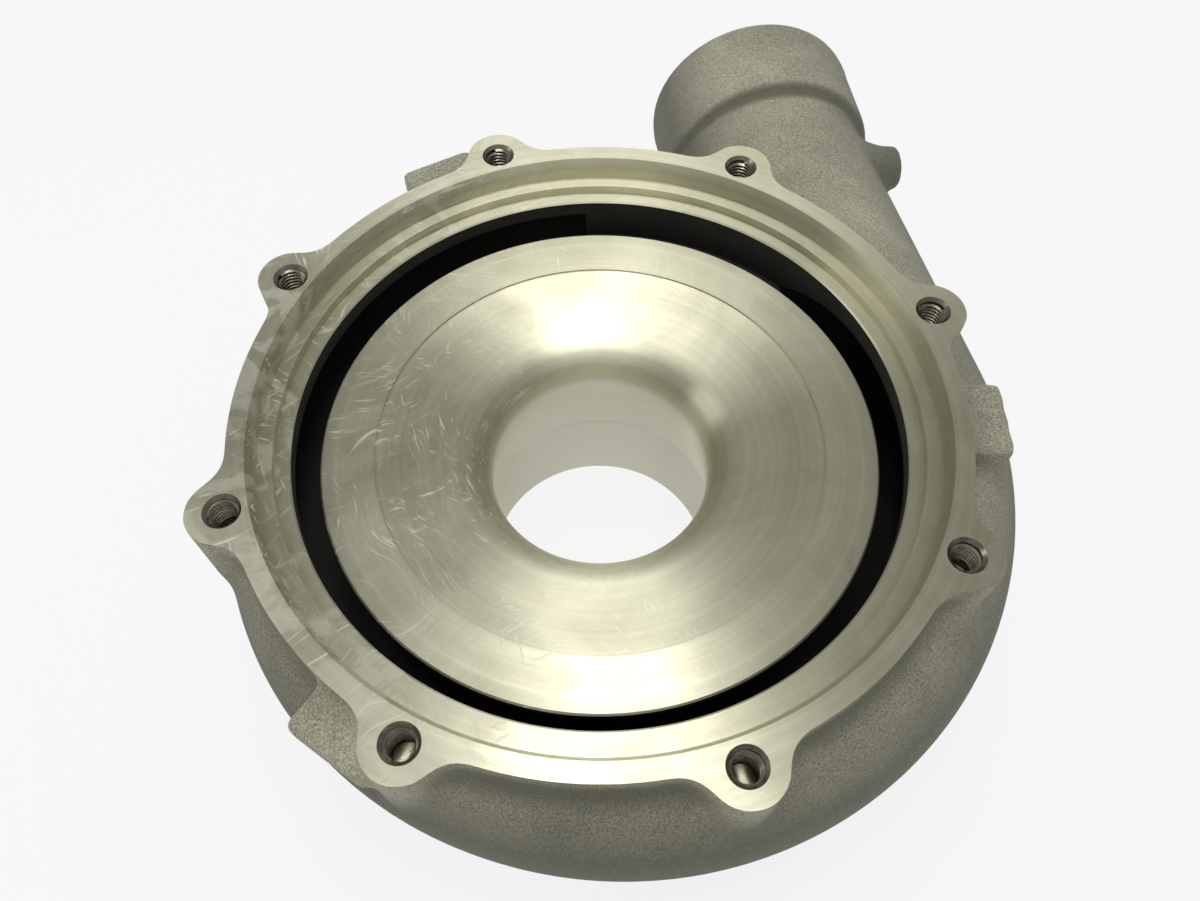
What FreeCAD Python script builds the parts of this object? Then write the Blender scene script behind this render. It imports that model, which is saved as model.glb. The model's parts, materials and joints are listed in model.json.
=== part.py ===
import FreeCAD, Part
import math
import os

import Sketcher

# Compressor cover of a turbocharger, cast in one piece and open towards its backplate.
# Origin: on the wheel axis, in the machined flange face. +Z points out of that face.
# The scroll grows counter-clockwise seen from +Z and leaves along +Y. Lengths in mm.

NODE = "compressor_housing"
SCROLL_STEPS = 10

DIMENSIONS = [
    ("Flange and lugs", None),
    ("bolt_circle_radius", 100.0),
    ("bolt_count", 8),
    ("first_bolt_angle", 11.25),
    ("flange_inset", 1.5),
    ("flange_height", 18.0),
    ("lug_radius", 9.5),
    ("lug_blend_radius", 9.0),
    ("lug_height", 26.0),
    ("collar_inset", 5.5),
    ("collar_overlap", 4.35),
    ("collar_height", 30.0),
    ("Tapped holes", None),
    ("tap_diameter", 6.8),
    ("mouth_diameter", 9.9),
    ("mouth_angle", 90.0),
    ("hole_floor", 3.0),
    ("drill_point_angle", 118.0),
    ("Backplate seat, machined", None),
    ("edge_break", 0.5),
    ("face_width", 5.0),
    ("pilot_depth", 6.9),
    ("lead_in_width", 1.3),
    ("lead_in_depth", 2.4),
    ("pilot_ledge", 4.0),
    ("seal_step_depth", 9.8),
    ("seal_ledge", 4.0),
    ("slot_floor_gap", 1.0),
    ("Diffuser plate and wheel bore, machined", None),
    ("slot_width", 5.85),
    ("plate_depth", 18.3),
    ("plate_rim_thickness", 5.0),
    ("plate_rim_chamfer", 1.5),
    ("plate_root_setback", 2.5),
    ("plate_face_width", 14.85),
    ("funnel_step", 0.6),
    ("funnel_angle", 10.5),
    ("funnel_wall", 7.0),
    ("lip_radius", 12.0),
    ("throat_radius", 31.7),
    ("throat_land", 4.0),
    ("Inlet", None),
    ("bore_line_depth", 63.5),
    ("bore_line_radius", 36.0),
    ("inlet_bore_radius", 36.4),
    ("inlet_depth", 96.2),
    ("inlet_mouth_chamfer", 1.0),
    ("duct_radius", 40.6),
    ("duct_blend", 7.0),
    ("inlet_radius", 43.0),
    ("inlet_land_length", 28.0),
    ("Scroll", None),
    ("scroll_sweep", 300.0),
    ("scroll_wall", 4.5),
    ("scroll_roof_depth", 15.0),
    ("scroll_exit_bore", 29.0),
    ("scroll_inset", 0.1),
    ("scroll_drift", 7.4),
    ("scroll_drift_start", 180.0),
    ("tongue_sweep", 20.0),
    ("tail_sweep", 30.0),
    ("tail_radius", 5.5),
    ("tail_depth", 21.7),
    ("Discharge neck and outlet", None),
    ("outlet_offset", 80.0),
    ("outlet_depth", 44.0),
    ("neck_end", 123.0),
    ("neck_radius", 34.5),
    ("neck_bore", 30.0),
    ("outlet_radius", 38.0),
    ("outlet_bore", 33.0),
    ("outlet_flare_length", 12.0),
    ("outlet_length", 38.0),
    ("Shoulders and rims of both hose lands", None),
    ("shoulder_length", 5.0),
    ("rim_chamfer", 1.2),
    ("Boss on the neck", None),
    ("boss_position", 113.0),
    ("boss_depth", 34.0),
    ("boss_radius", 7.0),
    ("boss_reach", 43.0),
    ("boss_chamfer", 1.2),
    ("Locating pads", None),
    ("pad_angle_right", 351.8),
    ("pad_angle_back", 111.2),
    ("pad_angle_left", 228.0),
    ("pad_width", 19.5),
    ("pad_overlap", 3.0),
    ("pad_overhang", 11.0),
    ("pad_drop", 4.0),
    ("pad_face_height", 8.0),
    ("pad_height", 22.0),
    ("pad_round", 1.5),
]

# Sizes that follow from others. The rings lie inside each other, from the bolt circle inwards.
DERIVED = [
    ("flange_radius", "(@bolt_circle_radius - @flange_inset)"),
    ("collar_radius", "(@flange_radius - @collar_inset)"),
    ("pilot_radius", "(@flange_radius - @face_width - @lead_in_width)"),
    ("seal_step_radius", "(@pilot_radius - @pilot_ledge)"),
    ("slot_outer_radius", "(@seal_step_radius - @seal_ledge)"),
    ("plate_radius", "(@slot_outer_radius - @slot_width)"),
    ("collar_inner_radius", "(@plate_radius - @collar_overlap)"),
    ("funnel_radius", "(@plate_radius - @plate_face_width)"),
    ("scroll_centre_radius", "(@slot_outer_radius - @scroll_inset)"),
    ("pad_root_radius", "(@collar_radius - @pad_overlap)"),
    ("pad_reach", "(@flange_radius + @pad_overhang)"),
    ("outlet_end", "(@neck_end + @outlet_length)"),
    ("hole_depth", "(@scroll_roof_depth - @hole_floor)"),
]

doc = FreeCAD.newDocument("CompressorHousing")
sheet = doc.addObject("Spreadsheet::Sheet", "Dimensions")
for row, (name, size) in enumerate(DIMENSIONS, start=1):
    sheet.set(f"A{row}", name)
    if size is not None:
        sheet.set(f"B{row}", str(size))
        sheet.setAlias(f"B{row}", name)
doc.recompute()

body = doc.addObject("PartDesign::Body", "HousingBody")
body.Label = NODE


def dim(expression):
    """Spell out derived sizes, and then every @name as the sheet's cell of that name."""
    for name, worked_out in reversed(DERIVED):
        expression = expression.replace(f"@{name}", worked_out)
    return expression.replace("@", "Dimensions.")


def value(expression):
    """Return what an expression gives with the sheet's present sizes."""
    return float(body.evalExpression(dim(expression)))


def origin_item(role):
    """Return the body's own origin plane or axis of that role."""
    return next(item for item in body.Origin.OriginFeatures if item.Role == role)


def new_sketch(name, role, offset=("0", "0", "0"), turn="0", turn_axis=(0, 1, 0)):
    """Make a sketch on an origin plane, moved by offset and turned about the plane's Y."""
    sketch = body.newObject("Sketcher::SketchObject", name)
    sketch.AttachmentSupport = [(origin_item(role), "")]
    sketch.MapMode = "FlatFace"
    rotation = FreeCAD.Rotation(FreeCAD.Vector(*turn_axis), value(turn))
    sketch.AttachmentOffset = FreeCAD.Placement(FreeCAD.Vector(), rotation)
    for axis, expression in zip("xyz", offset):
        sketch.setExpression(f"AttachmentOffset.Base.{axis}", dim(expression))
    sketch.setExpression("AttachmentOffset.Rotation.Angle", dim(turn))
    return sketch


def tie(sketch, kind, geometry, point, expression):
    """Drive a point's distance from the sketch origin, across or up, by an expression."""
    distance = Sketcher.Constraint(kind, -1, 1, geometry, point, value(expression))
    index = sketch.addConstraint(distance)
    sketch.setExpression(f"Constraints[{index}]", dim(expression))


def tie_radius(sketch, geometry, expression):
    """Drive the radius of a circle or an arc by an expression."""
    radius = Sketcher.Constraint("Radius", geometry, value(expression))
    index = sketch.addConstraint(radius)
    sketch.setExpression(f"Constraints[{index}]", dim(expression))


def short_arc(start, end, radius, side):
    """Return the shorter arc between two points, its centre left (1) or right (-1) of the way."""
    chord = end - start
    rise = math.sqrt(max(radius**2 - (chord.Length / 2) ** 2, 0.0))
    left = FreeCAD.Vector(-chord.y, chord.x, 0).normalize()
    centre = (start + end) / 2 + left * side * rise
    first, last = (start, end) if side > 0 else (end, start)
    angles = [math.atan2(point.y - centre.y, point.x - centre.x) for point in (first, last)]
    ring = Part.Circle(centre, FreeCAD.Vector(0, 0, 1), radius)
    return Part.ArcOfCircle(ring, *angles)


def outline(sketch, corners):
    """Draw a closed outline. A corner is (x, y), or (x, y, radius, side) at an arc's end."""
    points = [FreeCAD.Vector(value(corner[0]), value(corner[1]), 0) for corner in corners]
    count = len(corners)
    ends = []
    for index, start in enumerate(points):
        end = points[(index + 1) % count]
        target = corners[(index + 1) % count]
        if len(target) == 2:
            sketch.addGeometry(Part.LineSegment(start, end), False)
        else:
            sketch.addGeometry(short_arc(start, end, value(target[2]), target[3]), False)
        turns_right = len(target) > 2 and target[3] < 0
        ends.append((2, 1) if turns_right else (1, 2))
    for index in range(count):
        following = (index + 1) % count
        joint = Sketcher.Constraint(
            "Coincident", index, ends[index][1], following, ends[following][0]
        )
        sketch.addConstraint(joint)
    for index, corner in enumerate(corners):
        tie(sketch, "DistanceX", index, ends[index][0], corner[0])
        tie(sketch, "DistanceY", index, ends[index][0], corner[1])
    for index in range(count):
        target = corners[(index + 1) % count]
        if len(target) > 2:
            tie_radius(sketch, index, target[2])


def circle(sketch, across, up, radius):
    """Draw one circle whose centre and radius are driven by expressions."""
    centre = FreeCAD.Vector(value(across), value(up), 0)
    ring = Part.Circle(centre, FreeCAD.Vector(0, 0, 1), value(radius))
    geometry = sketch.addGeometry(ring, False)
    tie(sketch, "DistanceX", geometry, 3, across)
    tie(sketch, "DistanceY", geometry, 3, up)
    tie_radius(sketch, geometry, radius)


def revolve(kind, name, sketch, axis="V_Axis"):
    """Turn a sketch right round one of its own axes, as a Revolution or a Groove."""
    feature = body.newObject(f"PartDesign::{kind}", name)
    feature.Profile = sketch
    feature.ReferenceAxis = (sketch, [axis])
    feature.Angle = 360.0


def loft(kind, name, sections, ruled=False):
    """Loft through a row of sketches, smooth or straight, adding or taking away."""
    feature = body.newObject(f"PartDesign::{kind}", name)
    feature.Profile = sections[0]
    feature.Sections = sections[1:]
    feature.Ruled = ruled


def round_the_axis(name, original):
    """Repeat a feature at every bolt position round the wheel axis."""
    pattern = body.newObject("PartDesign::PolarPattern", name)
    pattern.Originals = [original]
    pattern.Axis = (origin_item("Z_Axis"), [""])
    pattern.Angle = 360.0
    pattern.setExpression("Occurrences", dim("@bolt_count"))
    body.Tip = pattern


# Flange, and the collar under it that the scroll grows out of.
def add_flange():
    sketch = new_sketch("FlangeProfile", "XZ_Plane")
    outline(
        sketch,
        [
            ("@collar_inner_radius", "0"),
            ("@flange_radius", "0"),
            ("@flange_radius", "-@flange_height"),
            ("@collar_radius", "-@flange_height"),
            ("@collar_radius", "-@collar_height"),
            ("@collar_inner_radius", "-@collar_height"),
        ],
    )
    revolve("Revolution", "Flange", sketch)


# One lug round each hole. A hollow arc on both sides runs from the lug into the flange's edge:
# its centre is one blend radius outside both, which gives the two points where it touches them.
def add_lugs():
    arc_reach = "(@flange_radius + @lug_blend_radius)"
    hole_reach = "(@lug_radius + @lug_blend_radius)"
    cosine = (
        f"(({arc_reach}^2 + @bolt_circle_radius^2 - {hole_reach}^2)"
        f" / (2 * {arc_reach} * @bolt_circle_radius))"
    )
    sine = f"sqrt(1 - {cosine}^2)"
    part_way = f"@lug_radius / {hole_reach}"
    lug_x = (
        f"@bolt_circle_radius + ({arc_reach} * {cosine} - @bolt_circle_radius) * {part_way}"
    )
    lug_y = f"{arc_reach} * {sine} * {part_way}"
    rim_x = f"@flange_radius * {cosine}"
    rim_y = f"@flange_radius * {sine}"
    sketch = new_sketch("LugOutline", "XY_Plane", turn="@first_bolt_angle", turn_axis=(0, 0, 1))
    outline(
        sketch,
        [
            ("@collar_inner_radius", f"-{rim_y}"),
            (rim_x, f"-{rim_y}"),
            (lug_x, f"-{lug_y}", "@lug_blend_radius", -1),
            (lug_x, lug_y, "@lug_radius", 1),
            (rim_x, rim_y, "@lug_blend_radius", -1),
            ("@collar_inner_radius", rim_y),
        ],
    )
    lug = body.newObject("PartDesign::Pad", "Lug")
    lug.Profile = sketch
    lug.Reversed = True
    lug.setExpression("Length", dim("@lug_height"))
    round_the_axis("Lugs", lug)


# Flat cast pads beside the flange, on gussets that run down into the collar.
def add_locating_pad(name, angle):
    sketch = new_sketch(f"{name}Profile", "XZ_Plane", turn=angle)
    outline(
        sketch,
        [
            ("@pad_root_radius", "-@pad_drop - @pad_height"),
            ("@collar_radius", "-@pad_drop - @pad_height"),
            ("@pad_reach", "-@pad_drop - @pad_face_height"),
            ("@pad_reach", "-@pad_drop - @pad_round"),
            ("@pad_reach - @pad_round", "-@pad_drop", "@pad_round", 1),
            ("@pad_root_radius", "-@pad_drop"),
        ],
    )
    pad = body.newObject("PartDesign::Pad", name)
    pad.Profile = sketch
    pad.Midplane = True
    pad.setExpression("Length", dim("@pad_width"))


# Where the scroll ends: its section plane is the one whose tangent points at the neck's end.
EXIT_RADIUS = "(@scroll_centre_radius + @scroll_drift)"
EXIT_ANGLE = (
    "((atan2(@neck_end; @outlet_offset)"
    f" - acos({EXIT_RADIUS} / sqrt(@outlet_offset^2 + @neck_end^2))) / 1 deg)"
)


def scroll_section(name, sweep, wall):
    """One section of the scroll. Its area grows in step with the angle swept from the tongue."""
    drift = (
        f"max(0; ({sweep} - @scroll_drift_start) / (@scroll_sweep - @scroll_drift_start))^1.5"
    )
    bore = f"@scroll_exit_bore * sqrt({sweep} / @scroll_sweep)"
    turn = f"{EXIT_ANGLE} - @scroll_sweep + {sweep}"
    sketch = new_sketch(name, "XZ_Plane", turn=turn)
    circle(
        sketch,
        f"@scroll_centre_radius + @scroll_drift * {drift}",
        f"-@scroll_roof_depth - {bore}",
        f"{bore} + {wall}",
    )
    return sketch


def add_passage(kind, name, wall, neck_radius, tail=()):
    """Loft the scroll from the tongue to its end, and then the straight neck."""
    sections = list(tail)
    for step in range(SCROLL_STEPS + 1):
        share = f"{step} / {SCROLL_STEPS}"
        sweep = f"(@tongue_sweep + (@scroll_sweep - @tongue_sweep) * {share})"
        sections.append(scroll_section(f"{name}Section{step}", sweep, wall))
    loft(kind, f"{name}Scroll", sections)
    neck_start = scroll_section(f"{name}NeckStart", "@scroll_sweep", wall)
    neck_end = new_sketch(
        f"{name}NeckEnd", "XZ_Plane", ("@outlet_offset", "-@outlet_depth", "-@neck_end")
    )
    circle(neck_end, "0", "0", neck_radius)
    loft(kind, f"{name}Neck", [neck_start, neck_end], ruled=True)


# Outer wall of the scroll and the neck. Its tail starts inside the collar, under the slot.
def add_scroll_wall():
    tail_turn = f"{EXIT_ANGLE} - @scroll_sweep + @tongue_sweep - @tail_sweep"
    tail = new_sketch("WallTail", "XZ_Plane", turn=tail_turn)
    circle(tail, "@scroll_centre_radius", "-@tail_depth", "@tail_radius")
    add_passage("AdditiveLoft", "Wall", "@scroll_wall", "@neck_radius", [tail])


# Outlet: a hose land with a shoulder at the neck and a chamfered rim.
def add_outlet():
    centre = ("@outlet_offset", "0", "-@outlet_depth")
    sketch = new_sketch("OutletProfile", "XY_Plane", centre)
    outline(
        sketch,
        [
            ("0", "@neck_end"),
            ("@neck_radius", "@neck_end"),
            ("@outlet_radius", "@neck_end + @shoulder_length"),
            ("@outlet_radius", "@outlet_end - @rim_chamfer"),
            ("@outlet_radius - @rim_chamfer", "@outlet_end"),
            ("0", "@outlet_end"),
        ],
    )
    revolve("Revolution", "Outlet", sketch)


# Round boss that points sideways out of the neck.
def add_boss():
    centre = ("@outlet_offset", "@boss_position", "-@boss_depth")
    sketch = new_sketch("BossProfile", "XY_Plane", centre)
    outline(
        sketch,
        [
            ("0", "0"),
            ("@boss_reach", "0"),
            ("@boss_reach", "@boss_radius - @boss_chamfer"),
            ("@boss_reach - @boss_chamfer", "@boss_radius"),
            ("0", "@boss_radius"),
        ],
    )
    revolve("Revolution", "Boss", sketch, "H_Axis")


# The air passage: scroll, neck and outlet bore.
def cut_passage():
    add_passage("SubtractiveLoft", "Passage", "0", "@neck_bore")
    centre = ("@outlet_offset", "0", "-@outlet_depth")
    sketch = new_sketch("OutletBoreProfile", "XY_Plane", centre)
    outline(
        sketch,
        [
            ("0", "@neck_end"),
            ("@neck_bore", "@neck_end"),
            ("@outlet_bore", "@neck_end + @outlet_flare_length"),
            ("@outlet_bore", "@outlet_end + @edge_break"),
            ("0", "@outlet_end + @edge_break"),
        ],
    )
    revolve("Groove", "OutletBore", sketch)


# Seat for the backplate, turned into the flange: lead-in, pilot, seal step and slot. Towards the
# axis it clears the room that the plate then fills.
def turn_seat():
    slot_floor = "(@plate_depth + @plate_rim_thickness + @slot_floor_gap)"
    under_plate = "(@plate_radius - @plate_root_setback)"
    sketch = new_sketch("SeatProfile", "XZ_Plane")
    outline(
        sketch,
        [
            ("0", "@edge_break"),
            ("0", "-@plate_depth - @slot_floor_gap"),
            (under_plate, "-@plate_depth - @slot_floor_gap"),
            (under_plate, f"-{slot_floor}"),
            ("@slot_outer_radius", f"-{slot_floor}"),
            ("@slot_outer_radius", "-@seal_step_depth - @edge_break"),
            ("@slot_outer_radius + @edge_break", "-@seal_step_depth"),
            ("@seal_step_radius", "-@seal_step_depth"),
            ("@seal_step_radius", "-@pilot_depth"),
            ("@pilot_radius", "-@pilot_depth"),
            ("@pilot_radius", "-@lead_in_depth"),
            ("@pilot_radius + @lead_in_width", "0"),
            ("@pilot_radius + @lead_in_width", "@edge_break"),
        ],
    )
    revolve("Groove", "TurnedSeat", sketch)


# Diffuser plate and inlet duct in one ring round the wheel bore: plate face, funnel, lip, throat
# and bore. The duct ends in a hose land with the same shoulder and rim as the outlet.
def add_plate_and_duct():
    funnel_depth = "(@plate_depth + @funnel_step)"
    duct_top_radius = "(@duct_radius + @duct_blend)"
    under = (
        f"({funnel_depth} + (@funnel_radius - {duct_top_radius}) * tan(@funnel_angle)"
        " + @funnel_wall)"
    )
    land_top = "(@inlet_depth - @inlet_land_length)"
    rim_bottom = "(@plate_depth + @plate_rim_thickness)"
    lip_start = "(@throat_radius + @lip_radius * (1 - sin(@funnel_angle)))"
    lip_depth = f"({funnel_depth} + (@funnel_radius - {lip_start}) * tan(@funnel_angle))"
    throat_depth = f"({lip_depth} + @lip_radius * cos(@funnel_angle))"
    sketch = new_sketch("PlateProfile", "XZ_Plane")
    outline(
        sketch,
        [
            ("@inlet_bore_radius + @inlet_mouth_chamfer", "-@inlet_depth"),
            ("@inlet_radius - @rim_chamfer", "-@inlet_depth"),
            ("@inlet_radius", "-@inlet_depth + @rim_chamfer"),
            ("@inlet_radius", f"-{land_top}"),
            ("@duct_radius", f"-{land_top} + @shoulder_length"),
            ("@duct_radius", f"-{under} - @duct_blend"),
            (duct_top_radius, f"-{under}"),
            ("@plate_radius - @plate_rim_chamfer", f"-{rim_bottom}"),
            ("@plate_radius", f"-{rim_bottom} + @plate_rim_chamfer"),
            ("@plate_radius", "-@plate_depth - @edge_break"),
            ("@plate_radius - @edge_break", "-@plate_depth"),
            ("@funnel_radius", "-@plate_depth"),
            ("@funnel_radius", f"-{funnel_depth}"),
            (lip_start, f"-{lip_depth}"),
            ("@throat_radius", f"-{throat_depth}", "@lip_radius", 1),
            ("@throat_radius", f"-{throat_depth} - @throat_land"),
            ("@bore_line_radius", "-@bore_line_depth"),
            ("@inlet_bore_radius", "-@bore_line_depth"),
            ("@inlet_bore_radius", "-@inlet_depth + @inlet_mouth_chamfer"),
        ],
    )
    revolve("Revolution", "PlateAndDuct", sketch)


# Blind holes for the backplate screws, at the size of the thread's drilled core.
def drill_holes():
    sketch = new_sketch("HoleCentre", "XY_Plane", turn="@first_bolt_angle", turn_axis=(0, 0, 1))
    circle(sketch, "@bolt_circle_radius", "0", "@tap_diameter / 2")
    doc.recompute()
    hole = body.newObject("PartDesign::Hole", "BoltHole")
    hole.Profile = sketch
    hole.Threaded = False
    hole.DepthType = "Dimension"
    hole.setExpression("Diameter", dim("@tap_diameter"))
    hole.setExpression("Depth", dim("@hole_depth"))
    hole.HoleCutType = "Countersink"
    hole.setExpression("HoleCutDiameter", dim("@mouth_diameter"))
    hole.setExpression("HoleCutCountersinkAngle", dim("@mouth_angle"))
    hole.DrillPoint = "Angled"
    hole.setExpression("DrillPointAngle", dim("@drill_point_angle"))
    doc.recompute()
    round_the_axis("BoltHoles", hole)


def check_objects():
    """Stop if any object failed or the housing isn't one valid solid."""
    for item in doc.Objects:
        if "Invalid" in item.State or "Error" in item.State:
            raise RuntimeError(f"{item.Name} failed: {item.State}")
    shape = body.Shape
    if shape.isNull() or not shape.isValid() or len(shape.Solids) != 1:
        raise RuntimeError("the housing isn't one valid solid")


add_flange()
add_lugs()
add_scroll_wall()
add_locating_pad("PadRight", "@pad_angle_right")
add_locating_pad("PadBack", "@pad_angle_back")
add_locating_pad("PadLeft", "@pad_angle_left")
add_outlet()
add_boss()
turn_seat()
cut_passage()
add_plate_and_duct()
drill_holes()
doc.recompute()
check_objects()

os.makedirs("parts", exist_ok=True)
body.Shape.exportStep(f"parts/{NODE}.step")
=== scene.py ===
"""The looks of a turbocharger's compressor cover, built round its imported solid.

The cover is one aluminium casting. Outside it is sand cast, with soft roots where the lugs, the
pads and the neck grow out of the scroll. Its face, seat, plate and wheel bore are turned.
"""
import json
import math

import bmesh
import bpy
from bpy.props import FloatProperty, FloatVectorProperty, IntProperty, PointerProperty
from mathutils import Matrix, Vector


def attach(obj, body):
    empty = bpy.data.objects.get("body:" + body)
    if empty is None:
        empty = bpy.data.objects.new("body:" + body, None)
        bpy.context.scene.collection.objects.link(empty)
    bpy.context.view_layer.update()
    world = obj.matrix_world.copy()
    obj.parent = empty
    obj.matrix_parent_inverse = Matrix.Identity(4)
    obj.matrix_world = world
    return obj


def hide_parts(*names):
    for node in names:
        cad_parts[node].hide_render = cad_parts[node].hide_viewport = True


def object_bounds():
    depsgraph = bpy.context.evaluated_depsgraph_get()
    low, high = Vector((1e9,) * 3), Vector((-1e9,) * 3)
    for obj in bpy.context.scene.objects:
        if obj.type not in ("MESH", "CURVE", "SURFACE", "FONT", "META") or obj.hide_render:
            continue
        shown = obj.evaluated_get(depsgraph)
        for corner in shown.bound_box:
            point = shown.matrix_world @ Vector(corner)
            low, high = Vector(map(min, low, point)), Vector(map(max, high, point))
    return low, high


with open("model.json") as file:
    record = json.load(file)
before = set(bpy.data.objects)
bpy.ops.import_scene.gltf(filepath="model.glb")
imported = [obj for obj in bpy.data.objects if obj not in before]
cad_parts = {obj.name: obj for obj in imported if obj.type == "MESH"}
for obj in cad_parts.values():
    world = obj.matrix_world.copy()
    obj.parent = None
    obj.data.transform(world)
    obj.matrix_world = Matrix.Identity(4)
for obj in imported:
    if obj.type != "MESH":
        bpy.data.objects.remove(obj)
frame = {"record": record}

bl_info = {
    "name": "Compressor Housing",
    "version": (1, 0, 0),
    "blender": (4, 5, 0),
    "location": "3D View > Sidebar > Housing",
    "description": "Cast scroll housing with a turned seat, tapped holes and a studio stage",
    "category": "Object",
}

NODE = "compressor_housing"
BODY = "root"
MM = 0.001
CAD_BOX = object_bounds()
MOUNTS = {mount["name"]: mount for mount in frame["record"]["mounts"]}

# Slots of the body's materials, in order.
CAST, TURNED, INSIDE, TAPPED = range(4)


def mount_size(name, size):
    """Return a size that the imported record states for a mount, in millimetres."""
    return MOUNTS[name]["dims"][size]


def length(name, description, millimetres):
    """Return a length property, in metres, whose default is given in millimetres."""
    return FloatProperty(
        name=name,
        description=description,
        default=millimetres * MM,
        precision=5,
        unit="LENGTH",
        subtype="DISTANCE",
    )


def angle(name, description, degrees):
    """Return an angle property whose default is given in degrees."""
    return FloatProperty(
        name=name,
        description=description,
        default=math.radians(degrees),
        unit="ROTATION",
        subtype="ANGLE",
    )


def colour(name, description, red, green, blue):
    """Return a colour property."""
    return FloatVectorProperty(
        name=name,
        description=description,
        default=(red, green, blue),
        min=0.0,
        max=1.0,
        size=3,
        subtype="COLOR",
    )


class FlangeSizes(bpy.types.PropertyGroup):
    """Flange, its lugs and the collar under it."""

    bolt_circle: length(
        "Bolt circle radius", "From the wheel axis to each hole", mount_size("bolts", "pcd_mm") / 2
    )
    bolt_count: IntProperty(
        name="Bolts", description="How many lugs and holes", default=mount_size("bolts", "count")
    )
    first_bolt: angle("First bolt", "Angle of the first hole from +X", 11.25)
    radius: length("Flange radius", "Outer edge between the lugs", 98.5)
    height: length("Flange height", "Thickness of the flange", 18.0)
    lug_radius: length("Lug radius", "Round end of a lug", 9.5)
    lug_blend: length("Lug blend", "Hollow arc between lug and flange", 9.0)
    lug_height: length("Lug height", "Thickness of a lug", 26.0)
    collar_radius: length("Collar radius", "Ring under the flange, outside", 93.0)
    collar_inner: length("Collar inner radius", "Ring under the flange, inside", 74.0)
    collar_height: length("Collar height", "How deep the ring under the flange reaches", 30.0)


class SeatSizes(bpy.types.PropertyGroup):
    """Turned seat for the backplate, and the slot inside it."""

    edge_break: length("Edge break", "Small chamfer on turned edges", 0.5)
    pilot_radius: length("Pilot radius", "Centring bore", mount_size("pilot", "r_mm"))
    pilot_depth: length("Pilot depth", "First ledge below the face", 6.9)
    lead_width: length("Lead-in width", "Chamfer above the pilot", 1.3)
    lead_depth: length("Lead-in depth", "Height of that chamfer", 2.4)
    seal_radius: length("Seal step radius", "Second step", mount_size("seal_step", "r_mm"))
    seal_depth: length("Seal step depth", "Second ledge below the face", 9.8)
    slot_radius: length("Slot radius", "Outer wall of the slot", 84.2)
    slot_depth: length("Slot depth", "Floor of the slot where no passage opens it", 24.3)


class PlateSizes(bpy.types.PropertyGroup):
    """Diffuser plate, wheel bore and inlet duct, which are one ring."""

    radius: length("Plate radius", "Rim beside the slot", 78.35)
    depth: length("Plate depth", "Flat ring below the face", 18.3)
    rim: length("Rim thickness", "Thickness of the plate at its rim", 5.0)
    rim_chamfer: length("Rim chamfer", "Under edge of the rim", 1.5)
    funnel_radius: length("Funnel radius", "Where the plate starts to fall", 63.5)
    funnel_step: length("Funnel step", "Small step at the funnel's edge", 0.6)
    funnel_angle: angle("Funnel angle", "Slope of the funnel", 10.5)
    funnel_wall: length("Funnel wall", "Thickness over the duct", 7.0)
    lip_radius: length("Lip radius", "Rounded lip of the wheel bore", 12.0)
    throat_radius: length("Throat radius", "Narrow end", mount_size("wheel_throat", "r_mm"))
    throat_land: length(
        "Throat land", "Straight part of the throat", mount_size("wheel_throat", "length_mm")
    )
    bore_line_depth: length("Bore line depth", "Where the turned cone ends", 63.5)
    bore_line_radius: length("Bore line radius", "Radius at that line", 36.0)
    bore_radius: length("Inlet bore radius", "Cast bore", mount_size("inlet_bore", "r_mm"))
    mouth_chamfer: length("Mouth chamfer", "Inner edge of the inlet", 1.0)
    duct_radius: length("Duct radius", "Outside of the duct above the hose land", 40.6)
    duct_blend: length("Duct blend", "Slope between plate and duct", 7.0)
    inlet_radius: length("Inlet radius", "Hose land", mount_size("inlet", "r_mm"))
    inlet_land: length("Inlet land", "Length of the hose land", 28.0)
    inlet_depth: length("Inlet depth", "From the face to the inlet's rim", 96.2)


class ScrollSizes(bpy.types.PropertyGroup):
    """Growing scroll. Its bore's area grows in step with the angle from the tongue."""

    sweep: angle("Sweep", "Angle from the scroll's start to its exit", 300.0)
    wall: length("Wall", "Thickness of the cast wall", 4.5)
    roof_depth: length("Roof depth", "Top of the passage below the face", 15.0)
    exit_bore: length("Exit bore", "Radius of the passage at the exit", 29.0)
    centre_radius: length("Centre radius", "From the axis to the passage's middle", 84.1)
    drift: length("Drift", "How far the middle moves outwards", 7.4)
    drift_start: angle("Drift start", "Sweep at which it starts to move", 180.0)
    tongue: angle("Tongue", "Sweep of the passage's first section", 20.0)
    tail: angle("Tail", "How far the outer wall reaches back from there", 30.0)
    tail_radius: length("Tail radius", "Outer wall's start", 5.5)
    tail_depth: length("Tail depth", "Middle of that start", 21.7)


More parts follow.
